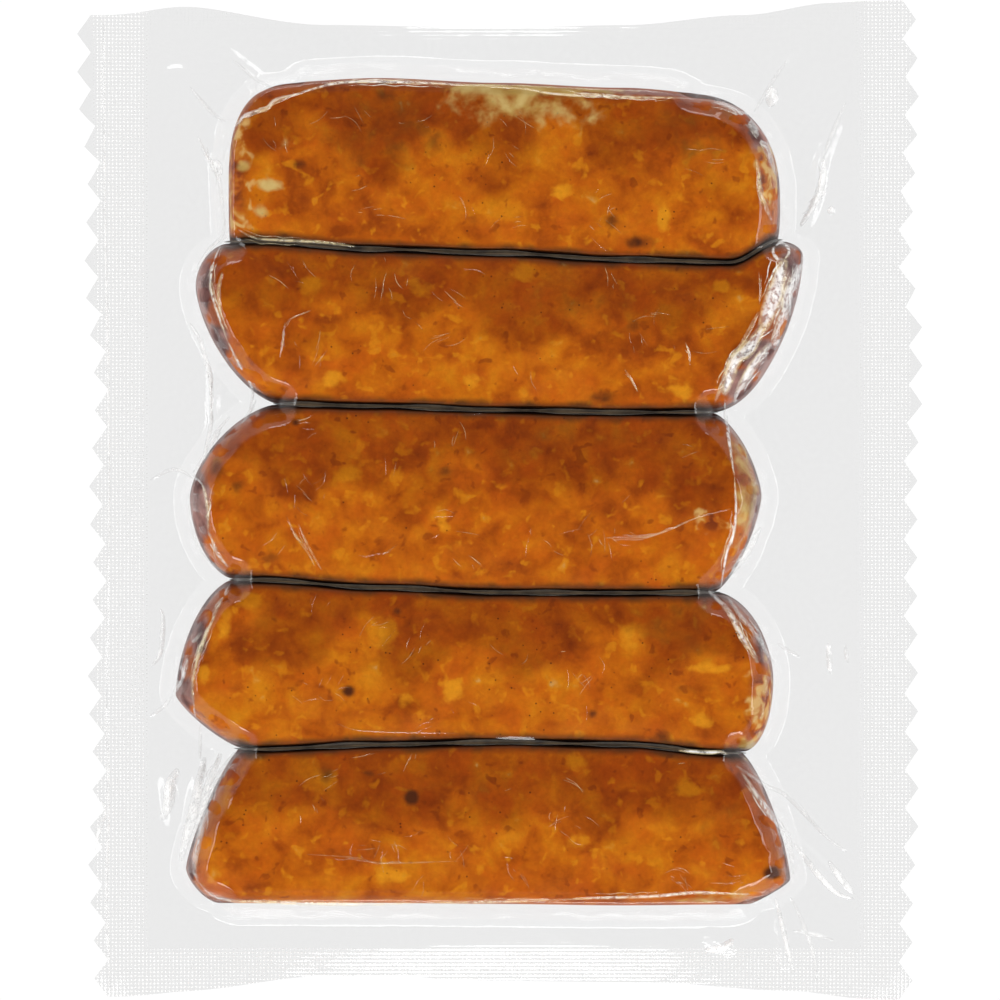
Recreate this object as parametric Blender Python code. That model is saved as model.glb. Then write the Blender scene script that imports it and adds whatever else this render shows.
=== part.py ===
"""A clear vacuum pack of five smoked sausage links, lying on its back with the flat side up.

The sealed bag is one closed solid: its skin follows the five sausages, dips between them, runs down
over their ends as a skirt and goes on as a flat sealed rim with a zigzag cut along both sides.
Sizes are in millimetres here, and pack_object() turns them into Blender's metres.
Sausages and seams are counted from the far side of the pack (+Y) to the near side (-Y): seam k is the
edge between sausage k - 1 and sausage k, and seams 0 and 5 are the outer edges of the row.
"""

from typing import NamedTuple

import bpy
import numpy as np

METRES_PER_MM = 0.001

# The whole pack, cut edge to cut edge
HALF_WIDTH = 87.0
HALF_LENGTH = 102.8
TEETH = 26
TOOTH_DEPTH = 2.8

# Heights above the surface that the pack lies on
SAUSAGE_TOPS = (28.3, 28.8, 29.0, 28.7, 28.2)
CROWN = 1.2
RIM_HEIGHT = 12.5
RIM_THICKNESS = 0.6
CORNER_LIFT = 4.0
END_DROOP = 5.0
SIDE_WAVE = 0.8
SIDE_WAVE_LENGTH = 58.0

# How the skin runs down over a sausage's edge: the shoulder's width inside the edge, and how far
# outside the edge the skin reaches before it lies in the rim
TOP_SHOULDER, TOP_REACH = 5.5, 5.5
BASE_SHOULDER, BASE_REACH = 9.5, 4.0
SHOULDER_POWER = 2.2
OUTLINE_STEPS = 24

# The long edges of the sausages, as a Y at each of these X
SEAM_X = (-50.0, -25.0, 0.0, 25.0, 47.0, 58.0)
SEAM_Y = (
    (85.7, 86.9, 85.9, 84.9, 83.4, 83.0),
    (52.9, 51.3, 50.5, 49.2, 48.6, 53.4),
    (19.8, 19.2, 18.4, 17.9, 18.0, 18.2),
    (-16.3, -17.9, -18.9, -19.0, -18.9, -18.7),
    (-51.0, -50.0, -49.5, -50.0, -51.8, -52.4),
    (-83.0, -83.0, -83.2, -83.5, -83.3, -83.0),
)
# Where the ends of two neighbours meet in a notch, as an X for each seam
LEFT_NOTCH_X = (-41.0, -55.5, -45.5, -54.5, -53.5, -58.0)
RIGHT_NOTCH_X = (39.5, 57.0, 43.7, 44.2, 49.5, 51.5)


class Sausage(NamedTuple):
    """Both tips of one sausage, and how full the curve is from a tip to the seam above or below it."""

    left_x: float
    left_y: float
    left_full: tuple
    right_x: float
    right_y: float
    right_full: tuple


SAUSAGES = (
    Sausage(-55.9, 64.5, (2.7, 2.5), 57.7, 60.8, (2.4, 2.2)),
    Sausage(-62.7, 44.0, (1.9, 1.55), 62.4, 50.2, (2.0, 1.7)),
    Sausage(-63.9, 0.5, (1.6, 1.8), 53.9, 0.8, (1.5, 1.4)),
    Sausage(-66.8, -40.2, (1.7, 1.25), 56.3, -37.0, (1.8, 2.0)),
    Sausage(-64.7, -75.8, (1.25, 1.5), 59.8, -78.2, (1.4, 1.2)),
)

# The cut edges of the film: Y along the far and near edges, X of the tooth tips along both sides
FAR_EDGE_X = (-84.0, -68.0, -36.0, 0.0, 26.0, 50.0, 68.0, 80.0)
FAR_EDGE_Y = (99.8, 101.9, 98.0, 97.4, 98.0, 100.0, 102.3, HALF_LENGTH)
NEAR_EDGE_X = (-80.0, -66.0, -36.0, -20.0, -8.0, 30.0, 60.0, 80.0)
NEAR_EDGE_Y = (-102.2, -101.2, -98.2, -98.2, -99.2, -99.5, -101.2, -HALF_LENGTH)
LEFT_EDGE_Y = (-95.0, -75.0, -55.0, -38.0, -15.0, 0.0, 20.0, 48.0, 65.0, 86.0)
LEFT_EDGE_X = (-83.4, -84.8, -83.8, -84.9, -83.8, -84.7, -83.4, -85.6, -84.9, -HALF_WIDTH)
RIGHT_EDGE_Y = (-96.0, -82.0, -66.0, -20.0, 8.0, 22.0, 34.0, 50.0, 86.0, 96.0)
RIGHT_EDGE_X = (84.8, 85.0, 86.2, 86.0, 86.0, HALF_WIDTH, HALF_WIDTH, 84.8, 86.2, 85.6)

# Grid lines. They bunch at the seams and at the sausages' ends, where the skin turns. Four rows to a
# tooth put a row on every tip and notch of the zigzag.
ROWS_IN_SAUSAGE = (
    *(0.0, 0.015, 0.035, 0.06, 0.09, 0.13, 0.19, 0.3),
    *(0.5, 0.7, 0.81, 0.87, 0.91, 0.94, 0.965, 0.985),
)
ROWS_IN_FAR_RIM = (0.0, 0.1, 0.2, 0.3, 0.4, 0.5, 0.6, 0.69, 0.77, 0.84, 0.9, 0.95)
ROWS_IN_NEAR_RIM = (0.0, 0.05, 0.1, 0.16, 0.23, 0.31, 0.4, 0.5, 0.6, 0.7, 0.8, 0.9, 1.0)
COLUMNS_IN_LEFT_RIM = (0.0, 0.25, 0.5, 0.7, 0.84, 0.94)
COLUMNS_IN_ROW = (0.0, 0.008, 0.022, 0.046, 0.12, 0.3, 0.5, 0.7, 0.88, 0.954, 0.978, 0.992)
COLUMNS_IN_RIGHT_RIM = (0.0, 0.06, 0.16, 0.3, 0.5, 0.75, 1.0)
# Beyond this distance from the middle the rows spread out to meet the even teeth
SPREAD_FROM_X = 60.0
EASING_PASSES = 3

FILM_COLOUR = (0.78, 0.79, 0.80, 1.0)
SAUSAGE_COLOUR = (0.42, 0.125, 0.012, 1.0)


def smooth_through(stations, values, at):
    """A curve through the values, level at each station and beyond the first and last one."""
    stations = np.asarray(stations, float)
    values = np.asarray(values, float)
    span = np.clip(np.searchsorted(stations, at) - 1, 0, len(stations) - 2)
    share = (at - stations[span]) / (stations[span + 1] - stations[span])
    share = np.clip(share, 0.0, 1.0)
    return values[span] + (values[span + 1] - values[span]) * smooth_step(share)


def smooth_step(share):
    return share * share * (3.0 - 2.0 * share)


def seam_y(k, x):
    return smooth_through(SEAM_X, SEAM_Y[k], x)


def end_curve(k, across, tip_x, tip_y, notches, full):
    """X of one end of sausage k, where across runs from -1 on its near seam to 1 on its far seam."""
    far, near = seam_y(k, tip_x), seam_y(k + 1, tip_x)
    tip_across = (2.0 * tip_y - far - near) / (far - near)
    towards_far = across >= tip_across
    room = np.where(towards_far, 1.0 - tip_across, 1.0 + tip_across)
    away = np.clip(np.abs(across - tip_across) / room, 0.0, 1.0)
    power = np.where(towards_far, full[0], full[1])
    drawn_in = 1.0 - (1.0 - away**power) ** (1.0 / power)
    notch = np.where(towards_far, notches[k], notches[k + 1])
    return tip_x + (notch - tip_x) * drawn_in


def left_end(k, across):
    one = SAUSAGES[k]
    return end_curve(k, across, one.left_x, one.left_y, LEFT_NOTCH_X, one.left_full)


def right_end(k, across):
    one = SAUSAGES[k]
    return end_curve(k, across, one.right_x, one.right_y, RIGHT_NOTCH_X, one.right_full)


def between_seams(k, x, across):
    """Y of a line across sausage k: -1 is its near seam, 1 its far seam."""
    far, near = seam_y(k, x), seam_y(k + 1, x)
    return 0.5 * (far + near) + 0.5 * (far - near) * across


def across_of(k, x, y):
    far, near = seam_y(k, x), seam_y(k + 1, x)
    return (2.0 * y - far - near) / (far - near)


def outline(k):
    """Corners of a fine polygon round sausage k as seen from above."""
    turn = np.cos(np.linspace(0.0, np.pi, OUTLINE_STEPS))
    right_x, left_x = right_end(k, turn), left_end(k, -turn)
    straight = np.linspace(0.0, 1.0, OUTLINE_STEPS)
    near_x = right_x[-1] + (left_x[0] - right_x[-1]) * straight
    far_x = left_x[-1] + (right_x[0] - left_x[-1]) * straight
    x = np.concatenate([right_x, near_x, left_x, far_x])
    across = np.concatenate([turn, -np.ones_like(near_x), -turn, np.ones_like(far_x)])
    return x, between_seams(k, x, across)


def distance_outside(k, x, y):
    """How far (x, y) lies outside sausage k's outline. Inside it is negative."""
    corner_x, corner_y = outline(k)
    run_x, run_y = np.roll(corner_x, -1) - corner_x, np.roll(corner_y, -1) - corner_y
    nearest = np.full(x.shape, np.inf)
    for start_x, start_y, along_x, along_y in zip(corner_x, corner_y, run_x, run_y):
        length_squared = max(along_x**2 + along_y**2, 1e-12)
        share = ((x - start_x) * along_x + (y - start_y) * along_y) / length_squared
        share = np.clip(share, 0.0, 1.0)
        gap = np.hypot(x - start_x - share * along_x, y - start_y - share * along_y)
        nearest = np.minimum(nearest, gap)
    across = across_of(k, x, y)
    level = np.clip(across, -1.0, 1.0)
    inside = (np.abs(across) < 1.0) & (x > left_end(k, level)) & (x < right_end(k, level))
    return np.where(inside, -nearest, nearest)


def shoulder(outside, width):
    """A sausage's own height as a share: full inside the shoulder, none at the edge."""
    inside = np.clip(-outside / width, 0.0, 1.0)
    return (1.0 - (1.0 - inside) ** SHOULDER_POWER) ** (1.0 / SHOULDER_POWER)


def skirt(outside, width, reach):
    """The skin's height as a share, where it stretches from the shoulder down to the rim."""
    run = np.clip((outside + width) / (width + reach), 0.0, 1.0)
    return (1.0 - run * run) ** 2


def draped(x, y, width, reach):
    """The skin's height as a share. Two skirts that meet, as over a seam, hold each other up."""
    body, slack = np.zeros_like(x), np.ones_like(x)
    for k in range(len(SAUSAGES)):
        outside = distance_outside(k, x, y)
        body = np.maximum(body, shoulder(outside, width))
        slack *= 1.0 - skirt(outside, width, reach)
    return np.maximum(body, 1.0 - slack)


def rim_height(x, y):
    """The middle of the sealed rim: its corners curl up, and its short sides hang in the middle."""
    across, along = x / HALF_WIDTH, y / HALF_LENGTH
    lift = CORNER_LIFT * np.abs(across * along) ** 3
    past_row = np.clip((np.abs(y) - SEAM_Y[0][0]) / (HALF_LENGTH - SEAM_Y[0][0]), 0.0, 1.0)
    droop = END_DROOP * past_row * (1.0 - across**2)
    wave = SIDE_WAVE * across**6 * np.sin(2.0 * np.pi * y / SIDE_WAVE_LENGTH)
    return RIM_HEIGHT + lift - droop + wave


def plateau_height(x, y):
    """The height of the sausages' flat tops, a little crowned from seam to seam."""
    centres = [float(between_seams(k, 0.0, 0.0)) for k in range(len(SAUSAGES))]
    top = smooth_through(centres[::-1], SAUSAGE_TOPS[::-1], y)
    off_centre = np.ones_like(x)
    for k in range(len(SAUSAGES)):
        off_centre = np.minimum(off_centre, np.abs(across_of(k, x, y)))
    return top - CROWN * off_centre**2


def top_height(x, y):
    rim = rim_height(x, y) + 0.5 * RIM_THICKNESS
    return rim + (plateau_height(x, y) - rim) * draped(x, y, TOP_SHOULDER, TOP_REACH)


def base_height(x, y):
    rim = rim_height(x, y) - 0.5 * RIM_THICKNESS
    return rim * (1.0 - draped(x, y, BASE_SHOULDER, BASE_REACH))


def row_lines():
    """Each grid row as (band, share): band 0 is the far rim, 1 to 5 the sausages, 6 the near rim."""
    lines = [(0, share) for share in ROWS_IN_FAR_RIM]
    for band in range(1, len(SAUSAGES) + 1):
        lines += [(band, share) for share in ROWS_IN_SAUSAGE]
    return lines + [(len(SAUSAGES) + 1, share) for share in ROWS_IN_NEAR_RIM]


def level_y(band, x):
    """Y of the line where a band of rows starts: the far cut edge, a seam, or the near cut edge."""
    if band == 0:
        return smooth_through(FAR_EDGE_X, FAR_EDGE_Y, x)
    if band <= len(SEAM_Y):
        return seam_y(band - 1, x)
    return smooth_through(NEAR_EDGE_X, NEAR_EDGE_Y, x)


def row_ends(lines, end, notches):
    """X of one end of every row, eased from row to row so that no grid cell is drawn out thin."""
    x = []
    for band, share in lines:
        if 1 <= band <= len(SAUSAGES):
            x.append(float(end(band - 1, np.array(1.0 - 2.0 * share))))
        else:
            x.append(notches[0 if band == 0 else len(SAUSAGES)])
    x = np.array(x)
    for _ in range(EASING_PASSES):
        x[1:-1] = 0.25 * x[:-2] + 0.5 * x[1:-1] + 0.25 * x[2:]
    return x


def cut_edge(row, rows, left):
    """Where a grid row meets the zigzag cut, which starts on a notch and has even teeth."""
    y = HALF_LENGTH - 2.0 * HALF_LENGTH * row / rows
    corner_x = -HALF_WIDTH if left else HALF_WIDTH
    far = smooth_through(FAR_EDGE_X, FAR_EDGE_Y, corner_x)
    near = smooth_through(NEAR_EDGE_X, NEAR_EDGE_Y, corner_x)
    y += (far - HALF_LENGTH) * (1.0 - row / rows) + (near + HALF_LENGTH) * row / rows
    stations, tips = (LEFT_EDGE_Y, LEFT_EDGE_X) if left else (RIGHT_EDGE_Y, RIGHT_EDGE_X)
    tip_x = smooth_through(stations, tips, y)
    in_tooth = (row * TEETH / rows) % 1.0
    return tip_x - np.sign(tip_x) * TOOTH_DEPTH * abs(1.0 - 2.0 * in_tooth), y


def row_points(row, lines, left_x, right_x):
    """The X and Y of one grid row, from the left cut edge to the right one."""
    band, share = lines[row]
    left_cut, right_cut = (cut_edge(row, len(lines) - 1, left) for left in (True, False))
    in_left, in_row, in_right = map(np.array, (COLUMNS_IN_LEFT_RIM, COLUMNS_IN_ROW, COLUMNS_IN_RIGHT_RIM))
    x = np.concatenate(
        [
            left_cut[0] + (left_x - left_cut[0]) * in_left,
            left_x + (right_x - left_x) * in_row,
            right_x + (right_cut[0] - right_x) * in_right,
        ]
    )
    y = level_y(band, x) * (1.0 - share) + level_y(band + 1, x) * share
    cut_y = np.where(x < 0.0, left_cut[1], right_cut[1])
    towards_cut = np.clip((np.abs(x) - SPREAD_FROM_X) / (HALF_WIDTH - SPREAD_FROM_X), 0.0, 1.0)
    return x, y + (cut_y - y) * smooth_step(towards_cut)


def grid_points():
    """X and Y of the whole grid, a row of it for each row line."""
    lines = row_lines()
    left_x = row_ends(lines, left_end, LEFT_NOTCH_X)
    right_x = row_ends(lines, right_end, RIGHT_NOTCH_X)
    rows = [row_points(row, lines, left_x[row], right_x[row]) for row in range(len(lines))]
    return np.moveaxis(rows, 1, 0)


def closed_faces(rows, columns):
    """Quads of a closed shell whose top grid comes first, then its base grid, then the rim between."""
    below = rows * columns

    def at(row, column, layer=0):
        return layer + row * columns + column

    faces = []
    for row in range(rows - 1):
        for column in range(columns - 1):
            faces.append(
                (at(row, column), at(row + 1, column), at(row + 1, column + 1), at(row, column + 1))
            )
            faces.append(
                (
                    at(row, column, below),
                    at(row, column + 1, below),
                    at(row + 1, column + 1, below),
                    at(row + 1, column, below),
                )
            )
    loop = [at(0, column) for column in range(columns)]
    loop += [at(row, columns - 1) for row in range(1, rows)]
    loop += [at(rows - 1, column) for column in range(columns - 2, -1, -1)]
    loop += [at(row, 0) for row in range(rows - 2, 0, -1)]
    for here, following in zip(loop, loop[1:] + loop[:1]):
        faces.append((here, following, following + below, here + below))
    return faces


def principled(name, colour, roughness):
    material = bpy.data.materials.new(name)
    material.use_nodes = True
    shader = material.node_tree.nodes["Principled BSDF"]
    shader.inputs["Base Color"].default_value = colour
    shader.inputs["Roughness"].default_value = roughness
    shader.inputs["Metallic"].default_value = 0.0
    material.diffuse_color = colour
    return material


def pack_object():
    """The sealed bag with its sausages, as one closed solid."""
    x, y = grid_points()
    layers = [np.stack([x, y, height(x, y)], axis=-1) for height in (top_height, base_height)]
    points = np.concatenate([layer.reshape(-1, 3) for layer in layers]) * METRES_PER_MM
    mesh = bpy.data.meshes.new("vacuum_pack")
    mesh.from_pydata(points.tolist(), [], closed_faces(*x.shape))
    mesh.materials.append(principled("clear_film", FILM_COLOUR, 0.15))
    mesh.materials.append(principled("sausage", SAUSAGE_COLOUR, 0.35))
    colour_sausages(mesh)
    mesh.shade_smooth()
    mesh.set_sharp_from_angle(angle=np.radians(50.0))
    mesh.validate()
    pack = bpy.data.objects.new("vacuum_pack", mesh)
    bpy.context.scene.collection.objects.link(pack)
    return pack


def colour_sausages(mesh):
    """Faces inside a sausage's outline take the sausage material, the rest the film's."""
    centres = np.array([face.center[:2] for face in mesh.polygons]) / METRES_PER_MM
    for k in range(len(SAUSAGES)):
        inside = distance_outside(k, centres[:, 0], centres[:, 1]) < 0.0
        for index in np.flatnonzero(inside):
            mesh.polygons[index].material_index = 1


for leftover in list(bpy.data.objects):
    bpy.data.objects.remove(leftover)
pack_object()
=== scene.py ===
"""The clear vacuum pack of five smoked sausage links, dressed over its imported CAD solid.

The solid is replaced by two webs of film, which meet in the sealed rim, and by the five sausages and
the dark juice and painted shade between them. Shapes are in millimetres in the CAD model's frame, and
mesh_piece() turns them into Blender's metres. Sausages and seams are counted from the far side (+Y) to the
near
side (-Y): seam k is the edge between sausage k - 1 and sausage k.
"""

from typing import NamedTuple

import bpy
import numpy as np
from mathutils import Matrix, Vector


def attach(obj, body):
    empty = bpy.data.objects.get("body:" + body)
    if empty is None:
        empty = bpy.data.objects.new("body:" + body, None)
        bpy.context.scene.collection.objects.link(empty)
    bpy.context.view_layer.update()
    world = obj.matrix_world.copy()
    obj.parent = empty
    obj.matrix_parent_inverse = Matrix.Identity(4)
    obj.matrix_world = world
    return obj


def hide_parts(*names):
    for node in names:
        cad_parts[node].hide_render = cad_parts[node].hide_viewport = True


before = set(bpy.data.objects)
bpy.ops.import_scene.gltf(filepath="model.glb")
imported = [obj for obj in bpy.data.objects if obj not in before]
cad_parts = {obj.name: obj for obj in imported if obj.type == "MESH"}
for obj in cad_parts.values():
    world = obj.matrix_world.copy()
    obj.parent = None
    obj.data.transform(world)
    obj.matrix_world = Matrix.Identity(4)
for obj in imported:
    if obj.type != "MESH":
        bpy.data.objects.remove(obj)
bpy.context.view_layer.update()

METRES_PER_MM = 0.001
NODE = "vacuum_pack"

# The whole pack and its cut edges, as in the CAD model
HALF_WIDTH = 87.0
HALF_LENGTH = 102.8
TEETH = 26
TOOTH_DEPTH = 2.8
FAR_EDGE_X = (-84.0, -68.0, -36.0, 0.0, 26.0, 50.0, 68.0, 80.0)
FAR_EDGE_Y = (99.8, 101.9, 98.0, 97.4, 98.0, 100.0, 102.3, HALF_LENGTH)
NEAR_EDGE_X = (-80.0, -66.0, -36.0, -20.0, -8.0, 30.0, 60.0, 80.0)
NEAR_EDGE_Y = (-102.2, -101.2, -98.2, -98.2, -99.2, -99.5, -101.2, -HALF_LENGTH)
LEFT_EDGE_Y = (-95.0, -75.0, -55.0, -38.0, -15.0, 0.0, 20.0, 48.0, 65.0, 86.0)
LEFT_EDGE_X = (-83.4, -84.8, -83.8, -84.9, -83.8, -84.7, -83.4, -85.6, -84.9, -HALF_WIDTH)
RIGHT_EDGE_Y = (-96.0, -82.0, -66.0, -20.0, 8.0, 22.0, 34.0, 50.0, 86.0, 96.0)
RIGHT_EDGE_X = (84.8, 85.0, 86.2, 86.0, 86.0, HALF_WIDTH, HALF_WIDTH, 84.8, 86.2, 85.6)

# Heights
SAUSAGE_TOPS = (28.3, 28.8, 29.0, 28.7, 28.2)
CROWN = 1.2
RIM_HEIGHT = 12.5
CORNER_LIFT = 4.0
END_DROOP = 5.0
SIDE_WAVE = 0.8
SIDE_WAVE_LENGTH = 58.0
FILM_GAP = 0.12

# The long edges of the sausages, as a Y at each of these X, and the notches where ends meet
SEAM_X = (-50.0, -25.0, 0.0, 25.0, 47.0, 58.0)
SEAM_Y = (
    (85.7, 86.9, 85.9, 84.9, 83.4, 83.0),
    (52.9, 51.3, 50.5, 49.2, 48.6, 53.4),
    (19.8, 19.2, 18.4, 17.9, 18.0, 18.2),
    (-16.3, -17.9, -18.9, -19.0, -18.9, -18.7),
    (-51.0, -50.0, -49.5, -50.0, -51.8, -52.4),
    (-83.0, -83.0, -83.2, -83.5, -83.3, -83.0),
)
LEFT_NOTCH_X = (-41.0, -55.5, -45.5, -54.5, -53.5, -58.0)
RIGHT_NOTCH_X = (39.5, 57.0, 43.7, 44.2, 49.5, 51.5)

# How a sausage rounds off inside its outline, and how far outside it the film reaches
END_SHOULDER, CUT_SHOULDER, END_REACH = 5.0, 1.5, 3.5
SEAM_SHOULDER, SEAM_REACH = 1.2, 4.5
CREVICE_SHOULDER, OUTER_SHOULDER = 1.1, 3.2
BASE_END_SHOULDER, BASE_SEAM_SHOULDER, BASE_REACH = 9.0, 7.0, 4.0
SHOULDER_POWER = 2.2
TENT_POWER = 2.0
INNER_SEAMS = (1, 2, 3, 4)
CURVE_STEPS = 40
BEYOND = 60.0

# Colour ramps of the casing's mottles, the raw cut meat, the painted shade and haze of the purple-brown
# tips, jelly, and the juice with painted shade in the seams
MEAT_COLOURS = (
    (0.34, (0.210, 0.038, 0.0015)),
    (0.43, (0.300, 0.064, 0.0022)),
    (0.50, (0.370, 0.091, 0.0030)),
    (0.57, (0.415, 0.120, 0.0040)),
    (0.67, (0.460, 0.160, 0.0060)),
)
RAW_COLOURS = (
    (0.36, (0.140, 0.024, 0.0050)),
    (0.45, (0.330, 0.070, 0.0060)),
    (0.52, (0.420, 0.150, 0.0150)),
    (0.59, (0.540, 0.330, 0.1100)),
)
SIDE_SHADE_COLOURS = ((0.38, (0.060, 0.022, 0.022)), (0.62, (0.30, 0.155, 0.135)))
JELLY_COLOURS = ((0.35, (0.36, 0.22, 0.040)), (0.65, (0.52, 0.40, 0.15)))
JUICE_AND_SHADE_COLOURS = ((0.35, (0.010, 0.006, 0.003)), (0.7, (0.050, 0.034, 0.018)))


class Sausage(NamedTuple):
    """Both tips of one sausage, and how full the curve is from a tip to the seam above or below it."""

    left_x: float
    left_y: float
    left_full: tuple
    right_x: float
    right_y: float
    right_full: tuple


SAUSAGES = (
    Sausage(-55.9, 64.5, (2.7, 2.5), 57.7, 60.8, (2.4, 2.2)),
    Sausage(-62.7, 44.0, (1.9, 1.55), 62.4, 50.2, (2.0, 1.7)),
    Sausage(-63.9, 0.5, (1.6, 1.8), 53.9, 0.8, (1.5, 1.4)),
    Sausage(-66.8, -40.2, (1.7, 1.25), 56.3, -37.0, (1.8, 2.0)),
    Sausage(-64.7, -75.8, (1.25, 1.5), 59.8, -78.2, (1.4, 1.2)),
)


class Crease(NamedTuple):
    """A crease of the film: its points, half width and height, how white its painted highlight shows, and
    its strands.
    """

    points: tuple
    half_width: float
    height: float
    white: float = 0.0
    strands: int = 0


def creases(*rows):
    return [Crease(*row) for row in rows]


# Broad folds, which are part of the film's own mesh
FOLDS = creases(
    (((-71.5, 84.0), (-66.3, 88.6), (-58.7, 80.3)), 1.8, 0.5),
    (((-58.3, 94.3), (-46.4, 84.5)), 1.6, 0.5),
    (((-61.8, 74.2), (-58.7, 69.0), (-57.3, 53.6)), 2.0, 0.8),
    (((-62.8, 36.1), (-59.3, 29.9), (-59.3, 14.4), (-60.8, 8.2)), 2.0, 0.8),
    (((-69.0, -55.6), (-67.0, -68.0)), 2.5, 1.0),
    (((-61.8, -55.6), (-64.0, -66.0), (-65.9, -76.2)), 2.2, 1.0),
    (((62.8, 93.7), (56.7, 85.5), (53.6, 81.4)), 1.8, 0.6),
    (((71.1, 81.4), (66.3, 70.0), (64.9, 61.8), (62.4, 54.6)), 2.2, 1.0),
    (((59.0, 50.0), (57.3, 41.2), (52.5, 31.9), (48.4, 26.8), (45.7, 20.6)), 2.6, 1.2),
    (((49.0, -52.5), (55.6, -59.7), (71.1, -72.1)), 2.2, 0.8),
    (((59.7, -69.0), (64.9, -74.2), (72.1, -81.4)), 2.2, 1.0),
    (((42.2, -89.6), (48.4, -92.7)), 2.2, 0.8),
    (((56.7, -80.3), (58.7, -96.8)), 1.8, 0.5),
)
# Sharp creases round the first sausage
FIRST_CREASES = creases(
    (((-47.4, 80.3), (-41.2, 83.1), (-31.6, 85.4), (-15.8, 85.3), (-4.0, 84.6)), 0.35, 0.3, 0.75, 3),
    (((-4.0, 84.6), (4.8, 84.1), (11.7, 83.0), (26.0, 82.4), (40.0, 82.2)), 0.35, 0.3, 0.6, 3),
    (((-54.2, 76.2), (-52.2, 78.6), (-47.7, 80.0), (-46.0, 81.7), (-41.2, 83.1)), 0.5, 0.3, 0.6, 4),
    (((-53.6, 55.3), (-50.1, 53.6), (-46.0, 53.2), (-36.4, 52.7), (-29.5, 51.8)), 0.4, 0.2, 0.5, 3),
    (((-62.1, 74.8), (-60.4, 70.7), (-58.0, 66.6), (-57.0, 61.1), (-56.4, 56.3)), 0.5, 0.4, 0.5, 2),
    (((-59.1, 70.0), (-58.2, 68.3), (-57.3, 66.5)), 1.3, 0.5, 0.85),
    (((-54.9, 90.6), (-50.1, 86.5), (-46.0, 83.8)), 0.45, 0.3, 0.25),
    (((-63.9, 85.1), (-61.1, 81.7), (-58.4, 79.0), (-56.3, 77.6)), 0.45, 0.3, 0.3),
    (((59.1, 90.6), (56.3, 86.5), (53.9, 82.4), (52.2, 79.7)), 0.45, 0.3, 0.35),
    (((55.9, 85.1), (56.0, 83.1), (55.5, 80.9)), 1.4, 0.5, 0.85),
    (((71.1, 81.7), (68.7, 76.2), (66.6, 70.7)), 0.5, 0.3, 0.35),
    (((66.6, 70.7), (66.6, 67.3), (65.6, 63.2), (63.9, 59.7), (61.8, 56.3)), 0.9, 0.6, 0.85, 4),
    (((68.4, 60.6), (68.1, 58.6)), 0.9, 0.4, 0.7),
    (((43.9, 81.7), (48.1, 79.7), (51.5, 76.9), (54.5, 72.0), (56.6, 66.6)), 0.9, 0.3, 0.55, 6),
    (((52.2, 70.0), (52.9, 66.6), (53.2, 63.2), (54.2, 60.4), (55.6, 57.0)), 0.6, 0.3, 0.5, 4),
)
# Sharp creases round the second sausage, with the ring and the crumpled band at its right end
SECOND_CREASES = creases(
    (((-56.3, 57.7), (-57.0, 54.2), (-59.1, 52.2), (-61.1, 49.4), (-62.5, 46.7)), 0.5, 0.3, 0.5, 2),
    (((-57.3, 52.2), (-58.7, 48.1), (-59.2, 43.9), (-58.0, 39.1), (-55.6, 32.3)), 0.4, 0.35, 0.7, 3),
    (((-55.6, 32.3), (-52.9, 26.8), (-50.8, 22.7), (-51.5, 18.5)), 0.4, 0.35, 0.7, 3),
    (((-56.7, 46.7), (-57.5, 42.6), (-57.0, 37.1)), 0.5, 0.3, 0.5),
    (((-63.9, 36.4), (-61.8, 33.0), (-60.8, 29.5), (-59.7, 25.4), (-59.4, 16.5)), 0.6, 0.4, 0.7, 3),
    (((56.4, 52.0), (57.5, 52.7), (58.8, 52.0), (59.1, 50.5), (58.0, 49.1)), 0.45, 0.4, 0.95),
    (((58.0, 49.1), (56.6, 49.4), (55.8, 51.0), (56.4, 52.0)), 0.45, 0.4, 0.95),
    (((58.4, 49.4), (57.3, 46.7), (56.3, 42.6), (54.9, 38.5), (53.2, 33.6)), 2.0, 0.7, 0.95, 12),
    (((54.2, 36.0), (50.8, 30.9), (48.1, 28.8), (46.7, 24.7), (45.7, 21.3)), 1.6, 0.6, 0.9, 10),
    (((61.8, 50.1), (61.1, 46.7), (59.1, 42.6), (57.7, 37.1), (55.6, 32.3)), 1.3, 0.5, 0.8, 7),
    (((55.6, 32.3), (52.2, 28.2), (49.4, 23.3), (48.1, 19.9)), 1.1, 0.5, 0.8, 7),
    (((56.2, 32.8), (57.1, 31.7)), 1.0, 0.4, 0.9),
    (((52.9, 38.5), (49.4, 31.6), (47.4, 28.8), (45.3, 23.3), (43.9, 19.9)), 0.7, 0.4, 0.5, 4),
    (((46.0, 20.6), (46.3, 16.5), (47.0, 11.0), (47.9, 4.8)), 0.4, 0.5, 0.85, 2),
    (((37.8, 32.3), (38.6, 30.2), (38.8, 27.5)), 0.25, 0.1, 0.5, 1),
    (((25.4, 26.8), (26.8, 24.7), (28.2, 22.0)), 0.25, 0.1, 0.5, 1),
    (((52.9, 46.7), (53.2, 43.3), (53.0, 39.8)), 0.25, 0.1, 0.4, 1),
    (((-43.9, 35.7), (-42.6, 37.1), (-38.5, 38.8)), 0.2, 0.08, 0.35, 1),
    (((-45.0, 28.8), (-44.3, 33.0), (-43.9, 36.4)), 0.2, 0.08, 0.35, 1),
)
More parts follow.
